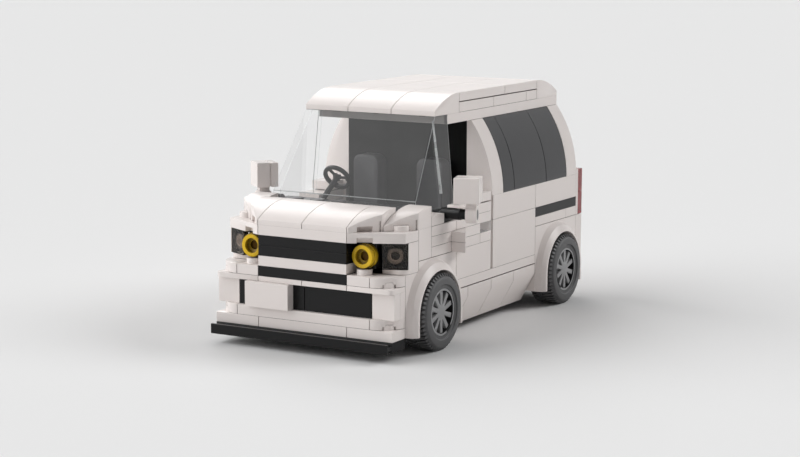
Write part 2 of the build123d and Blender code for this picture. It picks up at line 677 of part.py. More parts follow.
def arch_outline(x, a, b, axle):
    """Closed outline of an arch at one X place: legs, and half an ellipse over the axle."""
    y, z = gy(axle), gz(0) + AXLE_UP
    foot = gz(1)
    plane = Plane(origin=(x, y, z), x_dir=(0, 1, 0), z_dir=(1, 0, 0))
    arc = EllipticalCenterArc((0, 0), a, b, 0, arc_size=180)
    legs = [Line((-a, 0), (-a, foot - z)), Line((-a, foot - z), (a, foot - z)), Line((a, foot - z), (a, 0))]
    return plane * make_face([arc] + legs)


def arch(axle, cap_start):
    """A mudguard: a block over the wheel with a flare that bulges past the side."""
    side = gx(SIDE) - PLAY
    block = brick(INNER, SIDE, axle - ARCH_HALF, axle + ARCH_HALF, 1, 7)
    cap = Pos(0, 0, -SEAT) * brick(INNER, SIDE, cap_start, axle + ARCH_HALF, 7, ARCH_TOP)
    sections = [(side, CROWN_A, CROWN_B), (side + 0.6 * FLARE, CROWN_A - 0.4, CROWN_B - 0.9),
                (side + FLARE, CROWN_A - 1.6, CROWN_B - 3.0)]
    flare = loft([arch_outline(x, a, b, axle) for x, a, b in sections], ruled=True)
    y, z = gy(axle), gz(0) + AXLE_UP
    well = Pos(gx(SIDE), y, z) * Rot(0, 90, 0) * Cylinder(ARCH_R, 2 * PITCH)
    drop = slab(gx(2), gx(5), y - ARCH_R, y + ARCH_R, gz(0), z)
    return [block + cap + flare - well - drop]


def drum(radius, start, end):
    """A cylinder about X between two depths behind the wheel's outer wall."""
    return Pos(-(start + end) / 2, 0, 0) * Rot(0, 90, 0) * Cylinder(radius, end - start)


def rim():
    """Barrel, closed hub and ten spokes that widen outwards, about +X, outer face at zero."""
    back, floor = TYRE_W - RIM_IN, HUB_IN + SPOKE_T + HUB_FLOOR
    barrel = drum(RIM_R, RIM_IN, back) - drum(RIM_R - RIM_WALL, RIM_IN, back)
    hub_end = TYRE_W + HUB_IN
    hub = drum(HUB_FACE_R, HUB_IN, HUB_IN + SPOKE_T) + drum(HUB_R, HUB_IN + SPOKE_T, hub_end)
    reach, foot, head = RIM_R - RIM_WALL / 2, SPOKE_FOOT / 2, SPOKE_HEAD / 2
    outline = Polyline([(0, -foot, 1), (0, -head, reach), (0, head, reach), (0, foot, 1)], close=True)
    spoke = prism_x(outline.edges(), -HUB_IN - SPOKE_T, -HUB_IN)
    spokes = [Rot(360 / SPOKES * k, 0, 0) * spoke for k in range(SPOKES)]
    return (barrel + hub + spokes) - drum(PIN_R + PIN_PLAY, floor, hub_end)


def tyre():
    """Ring with bevelled shoulders, about +X, outer wall at zero."""
    bore, edge = RIM_R + BEAD_PLAY, TYRE_R - TYRE_SHOULDER
    section = [(0, bore), (0, edge), (-TYRE_SHOULDER, TYRE_R),
               (TYRE_SHOULDER - TYRE_W, TYRE_R), (-TYRE_W, edge), (-TYRE_W, bore)]
    outline = Polyline([(x, 0, r) for x, r in section], close=True)
    return revolve(make_face(outline.edges()), axis=Axis.X)


def at_wheel(shape, axle, way):
    return on_side(Pos(TRACK_OUT, gy(axle), gz(0) + AXLE_UP) * shape, way)


# ---------------------------------------------------------------- write the pieces
NODES = {
    "splitter": splitter(),
    "bumper_rows": bumper_rows(),
    "bumper_grille": bumper_grille(),
    "number_plate": number_plate(),
    "bumper_ends": bumper_ends(),
    "bumper_core": bumper_core(),
    "bumper_shelf": bumper_shelf(),
    "bumper_upper": bumper_upper(),
    "grille_black": grille_black(),
    "grille_white": grille_white(),
    "lamp_rings": lamp_rings(),
    "lamp_blocks": lamp_blocks(),
    "lamp_covers": lamp_covers(),
    "lamp_housings": lamp_housings(),
    "wing_plates": wing_plates(),
    "hood_slopes": hood_slopes(),
    "cowl": cowl(),
    "nose_core": nose_core(),
    "wing_rows": wing_rows(),
    "sill_tiles": sill_tiles(),
    "sills": sills(),
    "front_doors": front_doors(),
    "door_handles": door_handles(),
    "door_blocks": door_blocks(),
    "rear_doors": rear_doors(),
    "belt_panels": belt_panels(),
    "side_stripes": side_stripes(),
    "quarter_rows": quarter_rows(),
    "side_windows": side_windows(),
    "pillars": pillars(),
    "roof_plates": roof_plates(),
    "roof_rows": roof_rows(),
    "roof_tiles": roof_tiles(),
    "roof_front": roof_front(),
    "roof_rear": roof_rear(),
    "windscreen": windscreen(),
    "dashboard": dashboard(),
    "steering_wheel": steering_wheel(),
    "seats": seats(),
    "bulkhead": bulkhead(),
    "wheel_wells": wheel_wells(),
    "mirror_arms": mirror_arms(),
    "mirror_clips": mirror_clips(),
    "mirror_heads": mirror_heads(),
    "tailgate": tailgate(),
    "tail_brackets": tail_brackets(),
    "tail_lamps": tail_lamps(),
    "rear_bumper": rear_bumper(),
    "floor_plates": floor_plates(),
    "axle_holders": axle_holder(FRONT_AXLE) + axle_holder(REAR_AXLE),
    "arches": both_sides(arch(FRONT_AXLE, HOUSING_BACK) + arch(REAR_AXLE, REAR_AXLE - ARCH_HALF)),
}
CORNERS = (
    ("fl", FRONT_AXLE, 1), ("fr", FRONT_AXLE, -1),
    ("rl", REAR_AXLE, 1), ("rr", REAR_AXLE, -1))
for corner, axle, way in CORNERS:
    NODES["rim_" + corner] = [at_wheel(rim(), axle, way)]
    NODES["tyre_" + corner] = [at_wheel(tyre(), axle, way)]

os.makedirs("parts", exist_ok=True)
for name, shapes in NODES.items():
    export_step(Compound(children=[s for shape in shapes for s in shape.solids()]), f"parts/{name}.step")
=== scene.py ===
"""Looks of a brick-built toy kei van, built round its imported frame. Metres, nose towards -Y."""

import logging
from dataclasses import dataclass
from enum import Enum
from math import cos, hypot, pi, radians, sin
from typing import Any, ClassVar, Sequence

import bmesh
import bpy
from mathutils import Matrix, Vector

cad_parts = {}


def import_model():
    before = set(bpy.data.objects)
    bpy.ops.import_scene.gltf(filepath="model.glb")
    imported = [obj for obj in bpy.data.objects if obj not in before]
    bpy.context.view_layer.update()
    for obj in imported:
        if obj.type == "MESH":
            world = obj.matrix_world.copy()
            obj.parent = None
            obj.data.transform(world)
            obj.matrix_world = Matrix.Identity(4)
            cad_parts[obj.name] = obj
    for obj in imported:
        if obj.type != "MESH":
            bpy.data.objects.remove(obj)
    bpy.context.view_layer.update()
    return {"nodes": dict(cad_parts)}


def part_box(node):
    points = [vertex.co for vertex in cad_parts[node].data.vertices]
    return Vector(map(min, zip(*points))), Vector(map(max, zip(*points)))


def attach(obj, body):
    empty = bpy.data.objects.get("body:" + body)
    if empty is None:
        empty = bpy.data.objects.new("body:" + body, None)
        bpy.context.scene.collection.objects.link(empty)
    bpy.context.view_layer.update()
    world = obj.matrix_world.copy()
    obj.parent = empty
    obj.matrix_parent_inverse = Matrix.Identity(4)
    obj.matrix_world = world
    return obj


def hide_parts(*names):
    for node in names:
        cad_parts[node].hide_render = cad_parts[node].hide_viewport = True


frame: dict[str, Any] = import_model()

LOG = logging.getLogger("kei_van")
MM = 0.001
MERGE = 1e-6            # corners closer than this are one corner
FRAME_WIDTH = 800       # pixels
Colour = tuple[float, float, float, float]


# ---------------------------------------------------------------- small helpers
def linear(hex_colour: str) -> Colour:
    """Turn an sRGB hex colour into linear light.

    Args:
        hex_colour: Six hex digits with a leading hash.

    Returns:
        Red, green, blue and an alpha of one, in linear light.
    """
    values = [int(hex_colour[i:i + 2], 16) / 255 for i in (1, 3, 5)]
    light = [v / 12.92 if v <= 0.04045 else ((v + 0.055) / 1.055) ** 2.4 for v in values]
    return (light[0], light[1], light[2], 1.0)


def add_node(tree: bpy.types.NodeTree, kind: str, settings: dict[str, Any] | None = None,
             links: dict[str, bpy.types.NodeSocket] | None = None) -> bpy.types.Node:
    """Add a node with its settings and its incoming links.

    Args:
        tree: The node tree to add to.
        kind: The node's type name.
        settings: Values by socket name or, where no such socket exists, by property name.
        links: Source sockets by the name of the socket that each feeds.

    Returns:
        The new node.
    """
    node = tree.nodes.new(kind)
    for name, value in (settings or {}).items():
        if isinstance(name, int) or name in node.inputs:
            node.inputs[name].default_value = value
        else:
            setattr(node, name, value)
    for name, source in (links or {}).items():
        tree.links.new(source, node.inputs[name])
    return node


def new_piece(name: str, bm: bmesh.types.BMesh, *finishes: "Finish",
              smooth_below: float = 24.0) -> bpy.types.Object:
    """Turn a finished bmesh into an object at the origin.

    Args:
        name: The object's name.
        bm: The shape, in metres in the frame's axes; it is freed.
        finishes: What the surface is made of, in the order of the faces' material indices.
        smooth_below: Edges that turn by less than this many degrees are shaded smooth.

    Returns:
        The new object.
    """
    mesh = bpy.data.meshes.new(name)
    bm.to_mesh(mesh)
    bm.free()
    mesh.shade_smooth()
    mesh.set_sharp_from_angle(angle=radians(smooth_below))
    for finish in finishes:
        mesh.materials.append(finish.material())
    piece = bpy.data.objects.new(name, mesh)
    bpy.context.scene.collection.objects.link(piece)
    return piece


# ---------------------------------------------------------------- finishes
@dataclass(frozen=True)
class Finish:
    """A surface: its name and the record slot that it belongs to."""

    name: str
    slot: str
    made: ClassVar[dict[str, bpy.types.Material]] = {}

    def material(self) -> bpy.types.Material:
        """Make the material on first use.

        Returns:
            The material, the same one for every piece of this finish.
        """
        if self.name not in self.made:
            material = bpy.data.materials.new(self.name)
            material.use_nodes = True
            material.node_tree.nodes.clear()
            self.shade(material.node_tree)
            self.made[self.name] = material
        return self.made[self.name]

    def shade(self, tree: bpy.types.NodeTree) -> None:
        """Fill the material's tree; each kind of finish has its own way.

        Args:
            tree: The material's node tree, empty as yet.
        """
        raise NotImplementedError


@dataclass(frozen=True)
class MouldedAbs(Finish):
    """Injection-moulded ABS: glossy, with faint flow marks, and with painted shade where bricks meet."""

    colour: str = "#EDE5E2"
    tone: str = "#EBE3DF"       # what the colour drifts to along the flow
    roughness: float = 0.25
    sheen: float = 0.22         # strength of the mirror part of the gloss
    drift_mm: float = 9.0       # size of a patch of drift
    ripple_mm: float = 1.6      # waviness of the skin between ribs
    ripple: float = 0.015
    ripple_depth_mm: float = 0.2
    gloss_drift: float = 0.15   # share by which the gloss varies along the flow
    painted_shade_mm: float = 0.9        # how near another wall has to be for painted shade to darken the colour
    painted_shade_left: float = 0.22          # what is left of the colour in the darkest painted shade
    painted_shade_open: tuple[float, float] = (0.0, 0.45)    # open share at which the painted shade is darkest, and gone

    def shade(self, tree: bpy.types.NodeTree) -> None:
        """Colour drifts along the flow and is painted dark as shade where walls are near, gloss varies, and
        the skin is faintly wavy.

        Args:
            tree: The material's node tree, empty as yet.
        """
        place = add_node(tree, "ShaderNodeTexCoord").outputs["Object"]
        flow = add_node(tree, "ShaderNodeTexNoise", {"Scale": 1 / (self.drift_mm * MM), "Detail": 2.0},
                        {"Vector": place})
        tint = add_node(tree, "ShaderNodeMix",
                        {"data_type": "RGBA", 6: linear(self.colour), 7: linear(self.tone)},
                        {0: flow.outputs["Fac"]})
        # Painted shade: the colour is darkened where other walls are near, in seams and corners.
        open_share = add_node(tree, "ShaderNodeAmbientOcclusion",
                              {"samples": 4, "Distance": self.painted_shade_mm * MM})
        shut, clear = self.painted_shade_open
        left = add_node(tree, "ShaderNodeMapRange",
                        {"From Min": shut, "From Max": clear, "To Min": self.painted_shade_left},
                        {"Value": open_share.outputs["AO"]})
        shade_painted_tint = add_node(tree, "ShaderNodeVectorMath", {"operation": "SCALE"},
                          {0: tint.outputs[2], "Scale": left.outputs[0]})
        gloss = add_node(tree, "ShaderNodeMapRange",
                         {"To Min": self.roughness * (1 - self.gloss_drift),
                          "To Max": self.roughness * (1 + self.gloss_drift)},
                         {"Value": flow.outputs["Fac"]})
        skin = add_node(tree, "ShaderNodeTexNoise", {"Scale": 1 / (self.ripple_mm * MM), "Detail": 1.0},
                        {"Vector": place})
        bump = add_node(tree, "ShaderNodeBump",
                        {"Strength": self.ripple, "Distance": self.ripple_depth_mm * MM},
                        {"Height": skin.outputs["Fac"]})
        shader = add_node(tree, "ShaderNodeBsdfPrincipled", {"IOR": 1.54, "Specular IOR Level": self.sheen},
                          {"Base Color": shade_painted_tint.outputs[0], "Roughness": gloss.outputs[0],
                           "Normal": bump.outputs[0]})
        add_node(tree, "ShaderNodeOutputMaterial", {}, {"Surface": shader.outputs[0]})


@dataclass(frozen=True)
class ClearPolycarbonate(Finish):
    """Moulded clear polycarbonate.

    A thick tile or lens bends what is behind it. A thin pane, with a bend of one, lets light straight
    through, and a faint even glow stands for the pale studio that both of its sides mirror.
    """

    colour: str = "#F2F5F5"
    roughness: float = 0.03
    haze_mm: float = 6.0        # size of a patch of haze
    haze_drift: float = 0.4     # share by which the roughness varies with the haze
    share: float = 1.0          # how much of the light goes through
    bend: float = 1.58          # refractive index
    painted_reflection: float = 0.0           # strength of the painted reflection, an even glow on each side
    painted_reflection_drift: float = 0.1     # share by which the painted reflection varies with the haze

    def shade(self, tree: bpy.types.NodeTree) -> None:
        """Clear body whose roughness and glow vary along the flow of the mould.

        Args:
            tree: The material's node tree, empty as yet.
        """
        place = add_node(tree, "ShaderNodeTexCoord").outputs["Object"]
        flow = add_node(tree, "ShaderNodeTexNoise", {"Scale": 1 / (self.haze_mm * MM), "Detail": 1.0},
                        {"Vector": place})
        shader = add_node(tree, "ShaderNodeBsdfPrincipled",
                          {"Base Color": linear(self.colour), "Roughness": self.roughness, "IOR": self.bend,
                           "Transmission Weight": self.share, "Emission Color": (1, 1, 1, 1),
                           "Emission Strength": self.painted_reflection})
        for socket, value, drift in (("Roughness", self.roughness, self.haze_drift),
                                     ("Emission Strength", self.painted_reflection, self.painted_reflection_drift)):
            if value:
                varied = add_node(tree, "ShaderNodeMapRange",
                                  {"To Min": value * (1 - drift), "To Max": value * (1 + drift)},
                                  {"Value": flow.outputs["Fac"]})
                tree.links.new(varied.outputs[0], shader.inputs[socket])
        add_node(tree, "ShaderNodeOutputMaterial", {}, {"Surface": shader.outputs[0]})


@dataclass(frozen=True)
class MouldedRubber(Finish):
    """Moulded rubber: matt, with a fine grain from the mould that breaks up its sheen."""

    colour: str = "#4A4A4B"
    tone: str = "#434344"
    roughness: float = 0.55
    grain_mm: float = 0.5       # coarser than the real grain, so that it shows
    grain_depth_mm: float = 0.05
    grain: float = 0.12

    def shade(self, tree: bpy.types.NodeTree) -> None:
        """Two close greys in fine grain, with a shallow bump of the same size.

        Args:
            tree: The material's node tree, empty as yet.
        """
        place = add_node(tree, "ShaderNodeTexCoord").outputs["Object"]
        grain = add_node(tree, "ShaderNodeTexNoise", {"Scale": 1 / (self.grain_mm * MM), "Detail": 3.0},
                         {"Vector": place})
        tint = add_node(tree, "ShaderNodeMix",
                        {"data_type": "RGBA", 6: linear(self.colour), 7: linear(self.tone)},
                        {0: grain.outputs["Fac"]})
        bump = add_node(tree, "ShaderNodeBump",
                        {"Strength": self.grain, "Distance": self.grain_depth_mm * MM},
                        {"Height": grain.outputs["Fac"]})
        shader = add_node(tree, "ShaderNodeBsdfPrincipled", {"IOR": 1.52, "Roughness": self.roughness},
                          {"Base Color": tint.outputs[2], "Normal": bump.outputs[0]})
        add_node(tree, "ShaderNodeOutputMaterial", {}, {"Surface": shader.outputs[0]})


@dataclass(frozen=True)
class StudioFloor(Finish):
    """Seamless studio paper: pale and matt, shown to the camera as one even grey with a soft shadow."""

    colour: str = "#E7E7E7"
    tooth_mm: float = 40.0      # far coarser than the real tooth, so that it shows
    tooth_depth_mm: float = 0.1
    tooth: float = 0.02

    def shade(self, tree: bpy.types.NodeTree) -> None:
        """Matt paper with a faint tooth.

        Args:
            tree: The material's node tree, empty as yet.
        """
        place = add_node(tree, "ShaderNodeTexCoord").outputs["Object"]
        waves = add_node(tree, "ShaderNodeTexNoise", {"Scale": 1 / (self.tooth_mm * MM)}, {"Vector": place})
        bump = add_node(tree, "ShaderNodeBump",
                        {"Strength": self.tooth, "Distance": self.tooth_depth_mm * MM},
                        {"Height": waves.outputs["Fac"]})
        shader = add_node(tree, "ShaderNodeBsdfDiffuse", {"Color": linear(self.colour)},
                          {"Normal": bump.outputs[0]})
        add_node(tree, "ShaderNodeOutputMaterial", {}, {"Surface": shader.outputs[0]})


# Warm white ABS: the body colour, bright on top and greyer where it faces away from the key light.
WHITE = MouldedAbs("white_abs_moulded", "white_abs")
# Near-black ABS: reads as deep charcoal with a soft sheen.
BLACK = MouldedAbs("black_abs_moulded", "black_abs", "#151516", "#131314", 0.3, 0.21)
# White ABS painted nearly black as shade, where it lies behind a smoky tile's thick walls.
SHADED = MouldedAbs("shaded_abs_moulded", "white_abs", "#35312E", "#302D2A", 0.5, 0.1)
# White ABS painted mid grey as the shade of the roof's front slopes.
DIM = MouldedAbs("dim_abs_moulded", "white_abs", "#7E7B79", "#7B7876", 0.4, 0.15)
# Golden yellow ABS of the lamp rings, with painted shade that reaches far into its cups and corners.
YELLOW = MouldedAbs("yellow_abs_moulded", "yellow_abs", "#EBC22C", "#E4BA26", 0.22,
                    painted_shade_mm=4.0, painted_shade_left=0.15, painted_shade_open=(0.45, 0.95))
# Mid-grey ABS of the wheels, a little duller than the body.
GREY = MouldedAbs("grey_abs_moulded", "grey_abs", "#9A9A9B", "#949495", 0.3)
# The same grey painted dark as the tyre's shade.
GREY_SHADED = MouldedAbs("grey_abs_shaded", "grey_abs", "#232324", "#202021", 0.5, 0.1)
# Black ABS of the wall behind the seats, flat, and painted darker than the other black as the cabin's
# shade.
WALL = MouldedAbs("wall_abs_painted_shade", "black_abs", "#080808", "#060606", 0.5, 0.08)
# Charcoal ABS of the seats, a shade lighter than the wall behind them.
SEAT = MouldedAbs("seat_abs_moulded", "black_abs", "#3F3F41", "#3B3B3D", 0.4)
# Yellow ABS painted brown as the shade deep in a lamp's bore.
BORE = MouldedAbs("bore_abs_shaded", "yellow_abs", "#6B4F1E", "#664A1C", 0.5, 0.1, painted_shade_left=1.0)
# Dark grey ABS of the side windows, glossy, with painted shade in its fine seams.
WINDOW = MouldedAbs("window_abs_moulded", "window_black", "#404042", "#3C3C3E", 0.25, 0.22,
                    painted_shade_mm=1.4, painted_shade_left=0.05)
# The clear screen and the door handles: a pale painted reflection, an even glow, over what is dark behind
# them.
SCREEN = ClearPolycarbonate("screen_polycarbonate_polished", "windscreen_clear", "#F4F4F4", 0.0,
                            bend=1.0, painted_reflection=0.0425)
# The cut edges and the rib of the screen: nearly opaque, so they read as thin grey lines.
SCREEN_EDGE = ClearPolycarbonate("screen_edge_polycarbonate_cut", "windscreen_clear", "#9EA1A1", 0.3,
                                 share=0.2)
# The side panes: a front wedge with a thin painted reflection, and a rear part with the full one.
SCREEN_WEDGE = ClearPolycarbonate("screen_wedge_polycarbonate", "windscreen_clear", "#E8E8E8", 0.0,
                                  bend=1.0, painted_reflection=0.022)
SCREEN_SIDE = ClearPolycarbonate("screen_side_polycarbonate", "windscreen_clear", "#F0F0F0", 0.0,
                                 bend=1.0, painted_reflection=0.0425)
# The head of the screen, painted grey and cloudy as the roof's shade.
SCREEN_HEAD = ClearPolycarbonate("screen_head_polycarbonate", "windscreen_clear", "#707070", 0.3,
                                 share=0.8, bend=1.16)
# Smoky brown tiles over the corner lamps, which dim and warm what lies behind them.
SMOKE = ClearPolycarbonate("smoke_polycarbonate_polished", "smoke_clear", "#CFC5BB", 0.05, bend=1.3)
# Red polycarbonate of the tail lamps: dull, for half of the light stays in it.
RED = ClearPolycarbonate("red_polycarbonate_polished", "red_clear", "#B9272B", 0.08, share=0.55)
# Dark grey rubber with a soft sheen on the side walls.
RUBBER = MouldedRubber("tyre_rubber_moulded", "tyre_rubber", "#555556", "#505051")
# Pale seamless paper, which only shows the soft shadow.
PAPER = StudioFloor("studio_paper_matt", "stage")


# ---------------------------------------------------------------- studio
@dataclass
class ShotCamera:
    """The camera, fitted to the brick grid: where it stands and how long its lens is."""

    azimuth: float = 30.006     # degrees from the nose towards the van's left
    elevation: float = 8.949    # degrees
    roll: float = 0.173         # degrees
    distance: float = 653.58 * MM
    target: tuple[float, float, float] = (-0.084 * MM, -4.9 * MM, 30.208 * MM)
    focal_px: float = 1980.84
    sensor_mm: float = 36.0
    clip: tuple[float, float] = (0.01, 20.0)    # the nearest and the furthest that it sees

    def build(self) -> None:
        """Place the camera on its ray and make it the scene's own."""
        az, el, roll = radians(self.azimuth), radians(self.elevation), radians(self.roll)
        back = Vector((sin(az) * cos(el), -cos(az) * cos(el), sin(el)))
        level = Vector((cos(az), sin(az), 0.0))
        above = back.cross(level)
        right = cos(roll) * level + sin(roll) * above
        up = -sin(roll) * level + cos(roll) * above
        data = bpy.data.cameras.new("shot_camera")
        data.sensor_width = self.sensor_mm
        data.lens = self.focal_px * self.sensor_mm / FRAME_WIDTH
        data.clip_start, data.clip_end = self.clip
        camera = bpy.data.objects.new("shot_camera", data)
        turn = Matrix((right, up, back)).transposed().to_4x4()
        camera.matrix_world = Matrix.Translation(Vector(self.target) + self.distance * back) @ turn
        bpy.context.scene.collection.objects.link(camera)
        bpy.context.scene.camera = camera


@dataclass
class BroadSun:
    """A very wide, soft light a long way off."""

    name: str
    azimuth: float          # from the van to the light, in degrees from +X towards +Y
    elevation: float        # degrees
    spread: float           # how wide it looks, in degrees
    strength: float

    def build(self) -> None:
        """Hang the light and turn it to the van."""
        data = bpy.data.lights.new(self.name, "SUN")
        data.angle = radians(self.spread)
        data.energy = self.strength
        lamp = bpy.data.objects.new(self.name, data)
        az, el = radians(self.azimuth), radians(self.elevation)
        towards = Vector((cos(az) * cos(el), sin(az) * cos(el), sin(el)))
        lamp.matrix_world = towards.to_track_quat("Z", "Y").to_matrix().to_4x4()
        bpy.context.scene.collection.objects.link(lamp)


@dataclass
class Studio:
    """Floor, even surroundings and lamps."""

    floor_half: float = 6.0     # half the floor's width
    sky: float = 0.177          # strength of the surroundings on every surface
    shown: str = "#E6E6E6"      # what the camera sees past the floor
    lamps: tuple[BroadSun, ...] = (
        BroadSun("key_sun", -150.0, 30.0, 70.0, 2.60),
        BroadSun("rim_sun", 40.0, 38.0, 30.0, 1.30),
        BroadSun("fill_sun", 130.0, 38.0, 30.0, 0.79),
    )

    def build(self) -> None:
        """Lay the floor, set the world and hang the lamps."""
        bm = bmesh.new()
        bmesh.ops.create_grid(bm, x_segments=2, y_segments=2, size=self.floor_half)
        new_piece("studio_floor", bm, PAPER)
        world = bpy.data.worlds.new("studio_world")
        world.use_nodes = True
        tree = world.node_tree
        tree.nodes.clear()
        path = add_node(tree, "ShaderNodeLightPath")
        straight = add_node(tree, "ShaderNodeMath", {"operation": "MAXIMUM"},
                            {0: path.outputs["Is Camera Ray"], 1: path.outputs["Is Transmission Ray"]})
        seen = add_node(tree, "ShaderNodeMath", {"operation": "MAXIMUM"},
                        {0: straight.outputs[0], 1: path.outputs["Is Glossy Ray"]})
        lit = add_node(tree, "ShaderNodeBackground", {"Color": (1, 1, 1, 1), "Strength": self.sky})
        plain = add_node(tree, "ShaderNodeBackground", {"Color": linear(self.shown), "Strength": 1.0})
        mix = add_node(tree, "ShaderNodeMixShader", {},
                       {0: seen.outputs[0], 1: lit.outputs[0], 2: plain.outputs[0]})
        add_node(tree, "ShaderNodeOutputWorld", {}, {"Surface": mix.outputs[0]})
        bpy.context.scene.world = world
        for lamp in self.lamps:
            lamp.build()


# ---------------------------------------------------------------- moulded pieces of the body
SHARP = radians(30)     # edges that turn by more than this are rounded
FLAT = radians(0.5)     # faces that turn by less than this are joined


class Edge(Enum):
    """How far a moulded edge is rounded, in millimetres."""

    CRISP = 0.06
    BRICK = 0.08
    PANE = 0.16
    SOFT = 0.22
    ROUND = 0.38


def welded_mesh(node: str) -> bmesh.types.BMesh:
    """Copy a frame node's mesh and join its loose triangles into whole faces.

    Args:
        node: The frame node to copy.

    Returns:
        The new shape, with its edges still sharp.
    """
    bm = bmesh.new()
    bm.from_mesh(frame["nodes"][node].data)
    bmesh.ops.remove_doubles(bm, verts=bm.verts, dist=MERGE)
    bmesh.ops.dissolve_limit(bm, angle_limit=FLAT, verts=bm.verts, edges=bm.edges)
    return bm


def round_edges(bm: bmesh.types.BMesh, edges: list[bmesh.types.BMEdge], width: float,
                segments: int = 2) -> None:
    """Round some of a shape's edges.

    Args:
        bm: The shape.
        edges: The edges to round.
        width: How far the round reaches from each edge.
        segments: How many strips make the round.
    """
    bmesh.ops.bevel(bm, geom=edges, offset=width, offset_type="OFFSET", affect="EDGES",
                    segments=segments, profile=0.5, clamp_overlap=False, material=-1)


def sharp_edges(bm: bmesh.types.BMesh) -> list[bmesh.types.BMEdge]:
    """Find a shape's sharp edges."""
    return [e for e in bm.edges if e.is_manifold and e.calc_face_angle(0.0) > SHARP]


def moulded_mesh(node: str, edge: Edge) -> bmesh.types.BMesh:
    """Copy a frame node's mesh as one moulding, with its sharp edges rounded.

    Args:
        node: The frame node to copy.
        edge: How far its edges are rounded.

    Returns:
        The new shape.
    """
    bm = welded_mesh(node)
    round_edges(bm, sharp_edges(bm), edge.value * MM)
    return bm


def stand_in(node: str, bm: bmesh.types.BMesh, *finishes: Finish, body: str = "body",
             made: str = "moulded", smooth_below: float = 24.0) -> bpy.types.Object:
    """Make the piece that rides on a body in place of a frame node.

    Args:
        node: The frame node that the piece replaces and is named for.
        bm: The shape; it is freed.
        finishes: What the surface is made of, in the order of the faces' material indices.
        body: The body that the piece moves with.
        made: How the piece was made, as the end of its name.
        smooth_below: Edges that turn by less than this many degrees are shaded smooth.

    Returns:
        The new piece.
    """
    piece = new_piece(f"{node}_{made}", bm, *finishes, smooth_below=smooth_below)
    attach(piece, body)
    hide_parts(node)
    return piece


def add_trim(name: str, bm: bmesh.types.BMesh, finish: Finish) -> bpy.types.Object:
    """Make a piece of the van's body that stands for no frame node.

    Args:
        name: The piece's name.
        bm: The shape; it is freed.
        finish: What the surface is made of.

    Returns:
        The new piece.
    """
    piece = new_piece(name, bm, finish)
    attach(piece, "body")
    return piece


class Assembly:
    """A part of the van that is built and dressed as one."""

    title: str

    def build(self) -> list[bpy.types.Object]:
        """Make and dress the pieces; each kind of assembly has its own way.

        Returns:
            The pieces, for the log.
        """
        raise NotImplementedError


@dataclass
class BrickWork(Assembly):
    """A group of plain mouldings, each in place of the frame node of its name."""

    title: str
    pieces: tuple[tuple[str, Finish, Edge], ...]

    def build(self) -> list[bpy.types.Object]:
        """Make every piece of the group."""
        return [stand_in(node, moulded_mesh(node, edge), finish) for node, finish, edge in self.pieces]


class ScreenPart(Enum):
    """A part of the screen and its finish."""

    FRONT = SCREEN
    CUT_EDGE = SCREEN_EDGE
    WEDGE = SCREEN_WEDGE
    SIDE = SCREEN_SIDE
    HEAD = SCREEN_HEAD


